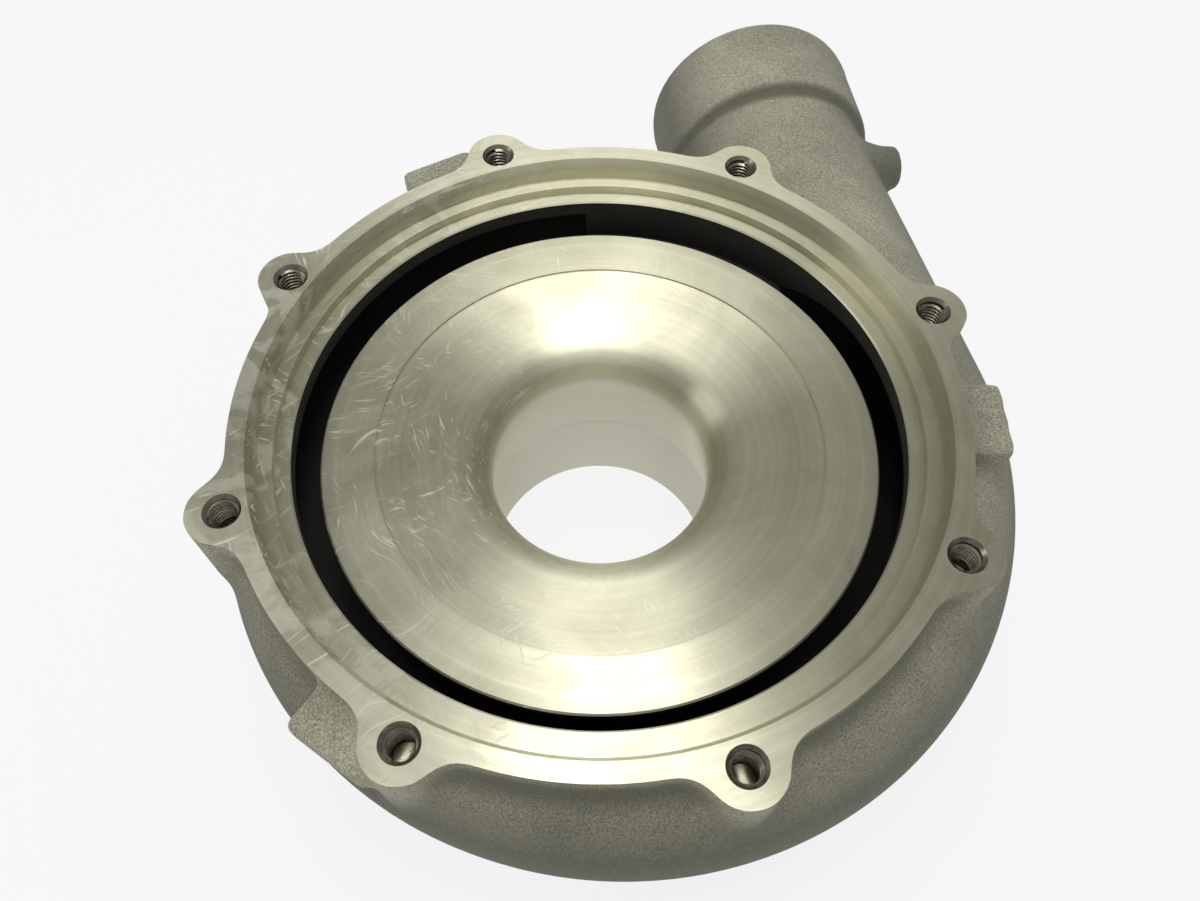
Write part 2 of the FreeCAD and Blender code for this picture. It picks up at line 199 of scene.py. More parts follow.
class OutletSizes(bpy.types.PropertyGroup):
    """Discharge neck, outlet and the boss on the neck."""

    offset: length("Outlet offset", "From the wheel axis to the outlet's axis", 80.0)
    depth: length("Outlet depth", "Outlet's axis below the face", 44.0)
    neck_end: length("Neck end", "Where the shoulder starts", 123.0)
    neck_radius: length("Neck radius", "Outside at the shoulder", 34.5)
    neck_bore: length("Neck bore", "Inside at the shoulder", 30.0)
    radius: length("Outlet radius", "Hose land", mount_size("outlet", "r_mm"))
    bore: length("Outlet bore", "Inside of the land", mount_size("outlet_bore", "r_mm"))
    flare: length("Flare length", "Where the bore widens", 12.0)
    shoulder: length("Shoulder", "From a neck's end to its hose land, at both ends", 5.0)
    step_length: length("Step length", "Length of the outlet's S-shaped shoulder", 1.4)
    rim_round: length("Rim round", "Outer edge of the outlet", 1.2)
    line_place: length("Line place", "From the rim to the faint raised line", 5.5)
    line_height: length("Line height", "How far that line stands out", 0.6)
    end: length("Outlet end", "Rim of the outlet", 161.0)
    boss_place: length("Boss place", "Where the boss sits along the neck", 111.0)
    boss_depth: length("Boss depth", "Boss's axis below the face", 34.0)
    boss_radius: length("Boss radius", "Round boss", 7.7)
    boss_reach: length("Boss reach", "From the neck's axis to the boss's end", 43.0)


class PadSizes(bpy.types.PropertyGroup):
    """Flat cast pads beside the flange."""

    right: angle("Right pad", "Angle from +X", 351.8)
    back: angle("Back pad", "Angle from +X", 111.2)
    left: angle("Left pad", "Angle from +X", 228.0)
    width: length("Pad width", "Across the pad", 23.0)
    root: length("Pad root", "Where its gusset starts", 90.0)
    reach: length("Pad reach", "Outer edge", 110.5)
    drop: length("Pad drop", "Its face below the flange's", 4.0)
    face: length("Pad face height", "Height of its outer edge", 8.0)
    height: length("Pad height", "Height at the collar", 22.0)


class HoleSizes(bpy.types.PropertyGroup):
    """Tapped blind holes."""

    core: length("Core radius", "Crests of the thread", mount_size("bolts", "hole_r_mm"))
    root: length("Root radius", "Roots of the thread", 4.0)
    pitch: length("Pitch", "From crest to crest", 1.25)
    crest: length("Crest width", "Flat on top of the ridge", 0.3)
    mouth: length("Mouth radius", "Countersink at the face", 4.95)
    tapped: length("Tapped depth", "Where the thread ends", 10.6)
    depth: length("Hole depth", "Straight part of the hole", 12.0)
    point: angle("Point angle", "Slope of the drill's point", 31.0)


class CastingSkin(bpy.types.PropertyGroup):
    """How the cast blank is rounded before it is turned."""

    voxel: length("Voxel", "Cell of the blank's skin", 1.0)
    root_round: length("Root round", "Hollow round where lugs and neck meet the scroll", 3.6)
    fine_round: length("Fine round", "Hollow round of the pads and the outlet's shoulder", 0.8)
    stock: length("Stock", "What the blank stands proud of its turned ends", 3.0)
    smoothing: IntProperty(
        name="Smoothing", description="Passes that soften the skin", default=4, min=0
    )
    thinning: FloatProperty(
        name="Thinning", description="Share of the skin's faces that stay", default=0.4, min=0.1
    )


class Finishes(bpy.types.PropertyGroup):
    """Colours of the surfaces."""

    cast_light: colour("Cast, light", "Sand cast skin", 0.95, 0.93, 0.70)
    # Painted shade low down, under the flange and in the hollow also runs towards this colour.
    cast_dark: colour("Cast, dark", "Dull patches of the skin", 0.24, 0.237, 0.18)
    turned_light: colour("Turned, light", "Bright turned metal", 0.74, 0.72, 0.54)
    turned_dark: colour("Turned, dark", "Dull turned metal", 0.40, 0.39, 0.27)
    smear: colour("Smear", "Pale smears and scratches", 0.93, 0.92, 0.78)
    # Nearly black, as painted shade in the passage and the slot.
    inside: colour("Inside", "Walls of the air passage", 0.022, 0.022, 0.019)
    thread: colour("Thread", "Cut thread", 0.36, 0.34, 0.26)
    floor: colour("Floor", "Floor as it lights the housing", 0.40, 0.40, 0.40)
    floor_seen: colour("Floor, seen", "Floor as the camera sees it", 0.92, 0.92, 0.92)


class StageSettings(bpy.types.PropertyGroup):
    """Camera, lamps and floor."""

    lens: FloatProperty(name="Lens", description="Focal length in mm", default=29.6)
    camera_place: FloatVectorProperty(
        name="Camera place",
        description="Where the camera stands",
        default=(-0.0196, -0.1453, 0.2192),
        subtype="TRANSLATION",
        unit="LENGTH",
    )
    camera_tilt: angle("Camera tilt", "Angle from straight down", 31.09)
    camera_turn: angle("Camera turn", "Heading", -7.7)
    camera_roll: angle("Camera roll", "Roll about the view axis", 0.2)
    floor_size: length("Floor size", "Side of the floor", 6000.0)
    key_power: FloatProperty(name="Key", description="Power of the overhead lamp, in W", default=1.15)
    fill_power: FloatProperty(name="Fill", description="Power of the side lamp, in W", default=0.45)
    back_power: FloatProperty(name="Back", description="Power of the rear lamp, in W", default=0.78)
    zenith: FloatProperty(name="Zenith", description="Light from straight above", default=0.38)
    horizon: FloatProperty(name="Horizon", description="Light from the sides", default=0.24)
    floor_glow: FloatProperty(
        name="Floor glow", description="Share of plain white in what a camera sees", default=0.84
    )
    backdrop: FloatProperty(name="Backdrop", description="White past the floor", default=0.93)


class HousingSettings(bpy.types.PropertyGroup):
    """All settings of the housing."""

    flange: PointerProperty(type=FlangeSizes)
    seat: PointerProperty(type=SeatSizes)
    plate: PointerProperty(type=PlateSizes)
    scroll: PointerProperty(type=ScrollSizes)
    outlet: PointerProperty(type=OutletSizes)
    pads: PointerProperty(type=PadSizes)
    holes: PointerProperty(type=HoleSizes)
    skin: PointerProperty(type=CastingSkin)
    finishes: PointerProperty(type=Finishes)
    stage: PointerProperty(type=StageSettings)


# Mesh helpers

LATHE_STEPS = 256
TUBE_STEPS = 96
SMALL_STEPS = 48
MERGE = 1e-7


def close_shell(shell, reach=MERGE):
    """Merge doubles, drop what has no area and turn the faces outwards."""
    bmesh.ops.remove_doubles(shell, verts=shell.verts, dist=reach)
    bmesh.ops.dissolve_degenerate(shell, dist=reach, edges=shell.edges)
    bmesh.ops.recalc_face_normals(shell, faces=shell.faces)
    return shell


def chain(shell, points, closed):
    """Join a row of points by edges."""
    verts = [shell.verts.new(point) for point in points]
    pairs = list(zip(verts, verts[1:]))
    if closed:
        pairs.append((verts[-1], verts[0]))
    return verts, [shell.edges.new(pair) for pair in pairs]


def lathe(profile, closed=False, steps=LATHE_STEPS, finish=None):
    """Turn a profile of (radius, height) right round Z. An open one starts and ends on the axis."""
    shell = bmesh.new()
    verts, edges = chain(shell, [(radius, 0, height) for radius, height in profile], closed)
    bmesh.ops.spin(
        shell, geom=verts + edges, axis=(0, 0, 1), angle=math.tau, steps=steps, use_merge=True
    )
    close_shell(shell)
    if finish:
        for face in shell.faces:
            middle = face.calc_center_median()
            face.material_index = finish(middle.xy.length, middle.z)
    return shell


def prism(outline, low, high):
    """Raise a flat outline from one height to another."""
    shell = bmesh.new()
    face = shell.faces.new([shell.verts.new((x, y, low)) for x, y in outline])
    raised = bmesh.ops.extrude_face_region(shell, geom=[face])["geom"]
    verts = [item for item in raised if isinstance(item, bmesh.types.BMVert)]
    bmesh.ops.translate(shell, verts=verts, vec=(0, 0, high - low))
    return close_shell(shell)


def tube(sections, steps=TUBE_STEPS, material=CAST):
    """Skin a row of circles, each given by its place and its radius, and cap both ends."""
    shell = bmesh.new()
    last = None
    for index, (place, radius) in enumerate(sections):
        verts = bmesh.ops.create_circle(
            shell,
            cap_ends=index in (0, len(sections) - 1),
            segments=steps,
            radius=radius,
            matrix=place,
        )["verts"]
        ring = list({edge for vert in verts for edge in vert.link_edges})
        if last:
            bmesh.ops.bridge_loops(shell, edges=last + ring)
        last = ring
    close_shell(shell)
    for face in shell.faces:
        face.material_index = material
    return shell


def arc(centre, radius, start, end, steps):
    """Return points of an arc in the plane, ends included."""
    turns = (start + (end - start) * step / steps for step in range(steps + 1))
    return [(centre[0] + radius * math.cos(a), centre[1] + radius * math.sin(a)) for a in turns]


def placed(shell, matrix):
    """Move a shell by a matrix."""
    bmesh.ops.transform(shell, matrix=matrix, verts=shell.verts)
    return shell


def to_object(name, shells, materials=()):
    """Put shells side by side into one new object with these material slots."""
    mesh = bpy.data.meshes.new(name)
    for material in materials:
        mesh.materials.append(material)
    whole = bmesh.new()
    for shell in shells:
        shell.to_mesh(mesh)
        shell.free()
        whole.from_mesh(mesh)
    whole.to_mesh(mesh)
    whole.free()
    made = bpy.data.objects.new(name, mesh)
    bpy.context.scene.collection.objects.link(made)
    return made


def settle(item):
    """Apply an object's modifiers."""
    bpy.context.view_layer.update()
    graph = bpy.context.evaluated_depsgraph_get()
    mesh = bpy.data.meshes.new_from_object(item.evaluated_get(graph), depsgraph=graph)
    old = item.data
    item.modifiers.clear()
    item.data = mesh
    mesh.name = item.name
    bpy.data.meshes.remove(old)
    return item


def combine(item, other, operation):
    """Add another object to this one or take it away, and drop the other."""
    modifier = item.modifiers.new(operation.title(), "BOOLEAN")
    modifier.operation = operation
    modifier.solver = "EXACT"
    modifier.object = other
    settle(item)
    bpy.data.objects.remove(other)
    return item


def slice_off(item, point, normal, material):
    """Cut an object with a plane, drop what lies past it and close the cut."""
    shell = bmesh.new()
    shell.from_mesh(item.data)
    cut = bmesh.ops.bisect_plane(
        shell,
        geom=shell.verts[:] + shell.edges[:] + shell.faces[:],
        plane_co=point,
        plane_no=normal,
        clear_outer=True,
    )["geom_cut"]
    edges = [part for part in cut if isinstance(part, bmesh.types.BMEdge)]
    for face in bmesh.ops.holes_fill(shell, edges=edges)["faces"]:
        face.material_index = material
    shell.to_mesh(item.data)
    shell.free()


# Forms of the housing


def funnel_heights(plate):
    """Return the lip's start radius and the heights of funnel, lip and throat."""
    slope = math.tan(plate.funnel_angle)
    top = -(plate.depth + plate.funnel_step)
    lip_start = plate.throat_radius + plate.lip_radius * (1 - math.sin(plate.funnel_angle))
    lip_top = top - (plate.funnel_radius - lip_start) * slope
    throat_top = lip_top - plate.lip_radius * math.cos(plate.funnel_angle)
    under = top - (plate.funnel_radius - plate.duct_radius - plate.duct_blend) * slope
    return lip_start, top, lip_top, throat_top, under - plate.funnel_wall


def duct_profile(plate, outlet, bottom):
    """Return the outside of plate and duct, from the plate's rim down to the inlet's rim."""
    under = funnel_heights(plate)[4]
    land_top = -(plate.inlet_depth - plate.inlet_land)
    rim_bottom = -(plate.depth + plate.rim)
    return [
        (plate.radius - plate.rim_chamfer, rim_bottom),
        (plate.duct_radius + plate.duct_blend, under),
        (plate.duct_radius, under - plate.duct_blend),
        (plate.duct_radius, land_top + outlet.shoulder),
        (plate.inlet_radius, land_top),
        (plate.inlet_radius, bottom),
    ]


def bolt_turns(flange):
    """Return the turn about the wheel axis of each lug and its hole."""
    step = math.tau / flange.bolt_count
    bearings = [flange.first_bolt + index * step for index in range(flange.bolt_count)]
    return [Matrix.Rotation(bearing, 4, "Z") for bearing in bearings]


def flange_blank(flange, plate, top):
    """Flange, collar and the disc inside them."""
    disc_bottom = -(plate.depth + plate.rim)
    return lathe(
        [
            (0, top),
            (flange.radius, top),
            (flange.radius, -flange.height),
            (flange.collar_radius, -flange.height),
            (flange.collar_radius, -flange.collar_height),
            (flange.collar_inner, -flange.collar_height),
            (flange.collar_inner, disc_bottom),
            (0, disc_bottom),
        ]
    )


def duct_blank(plate, outlet, bottom):
    """Plate's under side and the duct, solid to the axis."""
    profile = duct_profile(plate, outlet, bottom)
    overlap = -plate.depth
    return lathe([(0, overlap), (profile[0][0], overlap), *profile, (0, bottom)])


LUG_STEPS = 10


def lug_blanks(flange, top):
    """Lugs round the holes, with a hollow arc on both sides."""
    reach, span = flange.radius + flange.lug_blend, flange.lug_radius + flange.lug_blend
    bolt = flange.bolt_circle
    cosine = (reach**2 + bolt**2 - span**2) / (2 * reach * bolt)
    turn = math.acos(cosine)
    hollow = (reach * cosine, reach * math.sin(turn))
    facing = math.atan2(hollow[1], hollow[0] - bolt)
    inward = turn + math.pi
    end = arc((bolt, 0), flange.lug_radius, -facing, facing, 3 * LUG_STEPS)
    far = arc(hollow, flange.lug_blend, facing + math.pi, inward, LUG_STEPS)[1:]
    near = [(x, -y) for x, y in reversed(far)]
    inner = [
        (flange.collar_inner, far[-1][1]),
        (flange.collar_inner, -far[-1][1]),
    ]
    shells = []
    for turn in bolt_turns(flange):
        shells.append(placed(prism(near + end + far + inner, -flange.lug_height, top), turn))
    return shells


def pad_blanks(pads, flange):
    """Flat pads on gussets that run down into the collar."""
    profile = [
        (pads.root, -pads.drop - pads.height),
        (flange.collar_radius, -pads.drop - pads.height),
        (pads.reach, -pads.drop - pads.face),
        (pads.reach, -pads.drop),
        (pads.root, -pads.drop),
    ]
    upright = Matrix.Rotation(math.pi / 2, 4, "X")
    shells = []
    for bearing in (pads.right, pads.back, pads.left):
        pad = placed(prism(profile, -pads.width / 2, pads.width / 2), upright)
        shells.append(placed(pad, Matrix.Rotation(bearing, 4, "Z")))
    return shells


def exit_angle(scroll, outlet):
    """Return the bearing of the exit section, whose tangent points at the neck's end."""
    exit_radius = scroll.centre_radius + scroll.drift
    distance = math.hypot(outlet.offset, outlet.neck_end)
    return math.atan2(outlet.neck_end, outlet.offset) - math.acos(exit_radius / distance)


def across(bearing, radius, height):
    """Return the place of a section that stands upright at a bearing, facing along the scroll."""
    turn = Matrix.Rotation(bearing, 4, "Z")
    return turn @ Matrix.Translation((radius, 0, height)) @ Matrix.Rotation(math.pi / 2, 4, "X")


def scroll_section(scroll, outlet, sweep, wall):
    """Return place and radius of one section of the scroll."""
    after = max(0.0, (sweep - scroll.drift_start) / (scroll.sweep - scroll.drift_start))
    bore = scroll.exit_bore * math.sqrt(sweep / scroll.sweep)
    bearing = exit_angle(scroll, outlet) - scroll.sweep + sweep
    centre = scroll.centre_radius + scroll.drift * after**1.5
    return across(bearing, centre, -scroll.roof_depth - bore), bore + wall


def passage_sections(scroll, outlet, wall, count):
    """Return the scroll's sections, from the tongue to the exit."""
    span = scroll.sweep - scroll.tongue
    sweeps = [scroll.tongue + span * step / count for step in range(count + 1)]
    return [scroll_section(scroll, outlet, sweep, wall) for sweep in sweeps]


def at_outlet(outlet, along, radius):
    """Return a section on the outlet's axis."""
    place = Matrix.Translation((outlet.offset, along, -outlet.depth))
    return place @ Matrix.Rotation(math.pi / 2, 4, "X"), radius


SHOULDER_STEPS = 8


def outlet_sections(outlet, stock):
    """Return the neck's end, an S-shaped shoulder and the hose land, with a line near its rim."""
    rise = outlet.radius - outlet.neck_radius
    start = outlet.neck_end + outlet.shoulder - outlet.step_length
    steps = []
    for step in range(SHOULDER_STEPS + 1):
        share = step / SHOULDER_STEPS
        swell = (1 - math.cos(math.pi * share)) / 2
        steps.append((start + outlet.step_length * share, outlet.neck_radius + rise * swell))
    line = outlet.end - outlet.line_place
    steps += [
        (line - outlet.rim_round, outlet.radius),
        (line, outlet.radius + outlet.line_height),
        (line + outlet.rim_round, outlet.radius),
        (outlet.end - outlet.rim_round, outlet.radius),
        (outlet.end, outlet.radius - outlet.rim_round),
        (outlet.end + stock, outlet.radius - outlet.rim_round - stock),
    ]
    return [at_outlet(outlet, along, radius) for along, radius in steps]


WALL_SECTIONS = 96
PASSAGE_SECTIONS = 72


def scroll_blank(scroll, outlet):
    """Outer wall of the scroll, from its tail to the end of the neck."""
    tail_bearing = exit_angle(scroll, outlet) - scroll.sweep + scroll.tongue - scroll.tail
    tail = (across(tail_bearing, scroll.centre_radius, -scroll.tail_depth), scroll.tail_radius)
    wall = passage_sections(scroll, outlet, scroll.wall, WALL_SECTIONS)
    neck_end = at_outlet(outlet, outlet.neck_end + outlet.shoulder, outlet.neck_radius)
    return tube([tail, *wall, at_outlet(outlet, outlet.neck_end, outlet.neck_radius), neck_end])


# Sections of the boss: how far out each is, as a share of the reach, and its share of the radius.
BOSS_SECTIONS = ((0.5, 1.9), (0.76, 1.25), (0.88, 1.0), (1.0, 1.0))


def boss_blank(outlet):
    """Round boss on the neck, with a foot that widens towards the neck's flank."""
    place = Matrix.Translation((outlet.offset, outlet.boss_place, -outlet.boss_depth))
    place = place @ Matrix.Rotation(math.pi / 2, 4, "Y")
    sections = []
    for along, swell in BOSS_SECTIONS:
        out = Matrix.Translation((0, 0, along * outlet.boss_reach))
        sections.append((place @ out, swell * outlet.boss_radius))
    return tube(sections, steps=SMALL_STEPS)


def passage_tool(scroll, outlet, stock):
    """The room of the air passage, past the outlet's rim."""
    sections = passage_sections(scroll, outlet, 0.0, PASSAGE_SECTIONS)
    sections.append(at_outlet(outlet, outlet.neck_end, outlet.neck_bore))
    sections.append(at_outlet(outlet, outlet.neck_end + outlet.flare, outlet.bore))
    sections.append(at_outlet(outlet, outlet.end + 2 * stock, outlet.bore))
    return tube(sections, material=INSIDE)


def seat_tool(seat, plate):
    """What is turned away above the plate, with the slot and the room of the wheel bore."""
    lift = seat.edge_break * 2
    lead = seat.pilot_radius + seat.lead_width
    middle = -(plate.depth + plate.funnel_step)
    core = (plate.bore_radius + plate.duct_radius) / 2
    deep = plate.rim / 2

    def finish(radius, height):
        in_slot = radius > plate.funnel_radius and height < -(seat.seal_depth + seat.edge_break)
        return INSIDE if in_slot else TURNED

    return lathe(
        [
            (0, lift),
            (lead + seat.lead_width / seat.lead_depth * lift, lift),
            (seat.pilot_radius, -seat.lead_depth),
            (seat.pilot_radius, -seat.pilot_depth),
            (seat.seal_radius, -seat.pilot_depth),
            (seat.seal_radius, -seat.seal_depth),
            (seat.slot_radius + seat.edge_break, -seat.seal_depth),
            (seat.slot_radius, -seat.seal_depth - seat.edge_break),
            (seat.slot_radius, -seat.slot_depth),
            (plate.radius - deep, -seat.slot_depth),
            (plate.radius - deep, middle - deep / 2),
            (plate.funnel_radius, middle - deep / 2),
            (core, funnel_heights(plate)[2] - deep),
            (core, -plate.inlet_depth - plate.rim),
            (0, -plate.inlet_depth - plate.rim),
        ],
        finish=finish,
    )


LIP_STEPS = 16


def plate_form(seat, plate, outlet):
    """Plate, funnel, lip, throat, bore and duct as one ring, longer than the inlet."""
    lip_start, top, _, throat_top, _ = funnel_heights(plate)
    bottom = -plate.inlet_depth - 2 * plate.rim
    mouth = plate.bore_radius + plate.mouth_chamfer
    lip_centre = (plate.throat_radius + plate.lip_radius, throat_top)
    quarter = math.pi / 2
    lip = arc(lip_centre, plate.lip_radius, quarter + plate.funnel_angle, 2 * quarter, LIP_STEPS)

    bore_edge = min(lip_start + plate.lip_radius / 8, plate.duct_radius)

    def finish(radius, height):
        if radius > plate.radius - seat.edge_break / 4:
            return INSIDE
        fall = (plate.funnel_radius - radius) * math.tan(plate.funnel_angle)
        on_top = height > top - seat.edge_break or height > top - fall - MM
        in_bore = height > -plate.bore_line_depth and radius < bore_edge
        below_line = height < -plate.bore_line_depth
        return TURNED if on_top or in_bore or below_line else INSIDE

    return lathe(
        [
            *duct_profile(plate, outlet, bottom),
            (mouth + plate.mouth_chamfer, bottom),
            (mouth + plate.mouth_chamfer, -plate.inlet_depth - plate.mouth_chamfer),
            (plate.bore_radius, -plate.inlet_depth + plate.mouth_chamfer),
            (plate.bore_radius, -plate.bore_line_depth),
            (plate.bore_line_radius, -plate.bore_line_depth),
            (plate.throat_radius, throat_top - plate.throat_land),
            *reversed(lip),
            (plate.funnel_radius, top),
            (plate.funnel_radius, -plate.depth),
            (plate.radius - seat.edge_break, -plate.depth),
            (plate.radius, -plate.depth - seat.edge_break),
            (plate.radius, -plate.depth - plate.rim + plate.rim_chamfer),
        ],
        closed=True,
        finish=finish,
    )


def hole_places(flange):
    """Return the places of the tapped holes."""
    out = Matrix.Translation((flange.bolt_circle, 0, 0))
    return [turn @ out for turn in bolt_turns(flange)]


def hole_tools(holes, flange, lift):
    """The room of each hole: mouth, thread, core and drill point."""
    relief = holes.root - holes.core
    tip = holes.depth + holes.core * math.tan(holes.point)
    profile = [
        (0, lift),
        (holes.mouth + lift, lift),
        (holes.root, -(holes.mouth - holes.root)),
        (holes.root, -holes.tapped),
        (holes.core, -holes.tapped - relief),
        (holes.core, -holes.depth),
        (0, -tip),
    ]

    def finish(radius, height):
        return TURNED if height < -holes.depth else TAPPED

    shells = []
    for place in hole_places(flange):
        tool = lathe(profile, steps=SMALL_STEPS, finish=finish)
        shells.append(placed(tool, place))
    return shells


THREAD_STEPS = 28
EMBED = 0.06 * MM
# Half the foot of the thread's ridge, as a share of the pitch.
FOOT = 0.46


def thread_shells(holes, flange):
    """One ridge in each hole, which winds from the mouth down to the tapped depth."""
    start = holes.mouth - holes.core
    turns = (holes.tapped - start - holes.pitch / 2) / holes.pitch
    steps = round(turns * THREAD_STEPS)
    foot = holes.pitch * FOOT
    profile = [
        (holes.root + EMBED, 0, foot),
        (holes.core, 0, holes.crest / 2),
        (holes.core, 0, -holes.crest / 2),
        (holes.root + EMBED, 0, -foot),
    ]
    shells = []
    for place in hole_places(flange):
        shell = bmesh.new()
        verts, edges = chain(shell, [(x, y, z - start) for x, y, z in profile], True)
        bmesh.ops.spin(
            shell,
            geom=verts + edges,
            axis=(0, 0, 1),
            dvec=(0, 0, -holes.pitch / THREAD_STEPS),
            angle=-math.tau * steps / THREAD_STEPS,
            steps=steps,
        )
        bmesh.ops.holes_fill(shell, edges=[e for e in shell.edges if e.is_boundary])
        close_shell(shell)
        shells.append(placed(shell, place))
    return shells


def round_roots(item, voxel, radius):
    """Round the hollow edges of overlapping forms: grow the skin, join it and shrink it again."""
    for name, swell in (("Grown", radius), ("Shrunk", -radius)):
        remesh = item.modifiers.new(f"{name} skin", "REMESH")
        remesh.mode = "VOXEL"
        remesh.voxel_size = voxel
        move = item.modifiers.new(name, "DISPLACE")
        move.mid_level = 0.0
        move.strength = swell
        settle(item)


def grow_together(item, shells, materials):
    """Add more forms to an object."""
    added = to_object("added", shells, materials)
    shell = bmesh.new()
    shell.from_mesh(item.data)
    shell.from_mesh(added.data)
    shell.to_mesh(item.data)
    shell.free()
    bpy.data.objects.remove(added)


def cast_blank(settings, materials):
    """Make the cast blank: forms grown together, with soft roots and slightly rounded edges."""
    skin, flange, plate, outlet = settings.skin, settings.flange, settings.plate, settings.outlet
    soft_forms = [
        flange_blank(flange, plate, skin.stock),
        duct_blank(plate, outlet, -plate.inlet_depth - skin.stock),
        *lug_blanks(flange, skin.stock),
        scroll_blank(settings.scroll, outlet),
        boss_blank(outlet),
    ]
    crisp_forms = [*pad_blanks(settings.pads, flange), tube(outlet_sections(outlet, skin.stock))]
    blank = to_object("cast_housing", soft_forms, materials)
    round_roots(blank, skin.voxel, skin.root_round)
    grow_together(blank, crisp_forms, materials)
    round_roots(blank, skin.voxel, skin.fine_round)
    last = blank.modifiers.new("Skin", "REMESH")
    last.mode = "VOXEL"
    last.voxel_size = skin.voxel
    soften = blank.modifiers.new("Soften", "SMOOTH")
    soften.factor = 0.5
    soften.iterations = skin.smoothing
    thin = blank.modifiers.new("Thin", "DECIMATE")
    thin.ratio = skin.thinning
    return settle(blank)


def turning_tool(settings, materials):
    """Make the body of everything that the casting leaves open or that is turned away."""
    seat, plate, outlet = settings.seat, settings.plate, settings.outlet
    tool = to_object("turning_tool", [seat_tool(seat, plate)], materials)
    room = passage_tool(settings.scroll, outlet, settings.skin.stock)
    combine(tool, to_object("passage", [room], materials), "UNION")
    ring = to_object("plate", [plate_form(seat, plate, outlet)], materials)
    combine(tool, ring, "DIFFERENCE")
    grow_together(tool, hole_tools(settings.holes, settings.flange, seat.edge_break), materials)
    return tool


SHARP_EDGE = math.radians(32)


def shade(item):
    """Shade smooth, with sharp edges where two turned faces meet."""
    item.data.polygons.foreach_set("use_smooth", [True] * len(item.data.polygons))
    item.data.set_sharp_from_angle(angle=SHARP_EDGE)


def tidy(item):
    """Merge what lies together, drop what has no area and turn the faces outwards."""
    shell = bmesh.new()
    shell.from_mesh(item.data)
    close_shell(shell, 10 * MERGE)
    shell.to_mesh(item.data)
    shell.free()


# Materials


class Graph:
    """Short calls that add nodes and links to one node tree."""

    def __init__(self, tree):
        self.tree = tree

    def add(self, kind, inputs=None, **settings):
        """Add a node, set it up and feed its sockets with values or other sockets."""
        made = self.tree.nodes.new(kind)
        for name, setting in settings.items():
            setattr(made, name, setting)
        for socket, given in (inputs or {}).items():
            if isinstance(given, bpy.types.NodeSocket):
                self.tree.links.new(given, made.inputs[socket])
            else:
                made.inputs[socket].default_value = given
        return made

    def math(self, operation, first, *others):
        """Return the result of Math nodes, one for each further value."""
        for other in others or (0.0,):
            inputs = {0: first, 1: other}
            first = self.add("ShaderNodeMath", inputs, operation=operation).outputs[0]
        return first

    def weighted(self, *pairs):
        """Return a sum of values, each times its weight."""
        terms = [self.math("MULTIPLY", given, weight) for given, weight in pairs]
        return self.math("ADD", *terms)

    def parts(self, vector):
        """Return the three parts of a vector."""
        return self.add("ShaderNodeSeparateXYZ", {0: vector}).outputs

    def from_axis(self, parts):
        """Return the distance from the wheel axis."""
        flat = self.add("ShaderNodeCombineXYZ", {0: parts[0], 1: parts[1]}).outputs[0]
        return self.add("ShaderNodeVectorMath", {0: flat}, operation="LENGTH").outputs["Value"]

    def noise(self, vector, scale, detail=3.0, roughness=0.55, distortion=0.0):
        """Return the value of a noise texture."""
        inputs = {
            "Vector": vector,
            "Scale": scale,
            "Detail": detail,
            "Roughness": roughness,
            "Distortion": distortion,
        }
        return self.add("ShaderNodeTexNoise", inputs).outputs["Fac"]

    def span(self, given, low, high, to_low=0.0, to_high=1.0):
        """Map a value from one span to another and stay inside it."""
        inputs = {0: given, 1: low, 2: high, 3: to_low, 4: to_high}
        return self.add("ShaderNodeMapRange", inputs).outputs[0]

    def blend(self, factor, first, second):
        """Return a mix of two colours."""
        inputs = {0: factor, 6: first, 7: second}
        return self.add("ShaderNodeMix", inputs, data_type="RGBA").outputs[2]


def new_group(name, sockets_in, sockets_out):
    """Make a shader node group and return its tree, its input node and its output node."""
    tree = bpy.data.node_groups.new(name, "ShaderNodeTree")
    for label, kind, default in sockets_in:
        socket = tree.interface.new_socket(label, in_out="INPUT", socket_type=kind)
        if default is not None:
            socket.default_value = default
    for label, kind in sockets_out:
        tree.interface.new_socket(label, in_out="OUTPUT", socket_type=kind)
    return tree, tree.nodes.new("NodeGroupInput"), tree.nodes.new("NodeGroupOutput")


def sand_group():
    """Grain of sand cast metal: fine height, a fine tone and slow patches."""
    tree, given, out = new_group(
        "sand_grain",
        [("Vector", "NodeSocketVector", None), ("Grain", "NodeSocketFloat", 1900.0)],
        [
            ("Height", "NodeSocketFloat"),
            ("Tone", "NodeSocketFloat"),
            ("Patches", "NodeSocketFloat"),
        ],
    )
    graph = Graph(tree)
    vector, grain = given.outputs["Vector"], given.outputs["Grain"]
    coarse = graph.noise(vector, grain, 3.0, 0.6)
    fine = graph.noise(vector, graph.math("MULTIPLY", grain, 2.7), 2.0, 0.6)
    lumps = graph.noise(vector, graph.math("MULTIPLY", grain, 0.16), 3.0, 0.5)
    slow = graph.noise(vector, 22.0, 4.0, 0.6, 0.4)
    quick = graph.noise(vector, 120.0, 3.0, 0.6)
    patches = graph.span(graph.weighted((slow, 0.7), (quick, 0.3)), 0.32, 0.68)
    height = graph.weighted((coarse, 1.0), (fine, 0.5), (lumps, 1.2))
    tree.links.new(height, out.inputs["Height"])
    tree.links.new(graph.weighted((coarse, 0.5), (fine, 0.5)), out.inputs["Tone"])
    tree.links.new(patches, out.inputs["Patches"])
    return tree


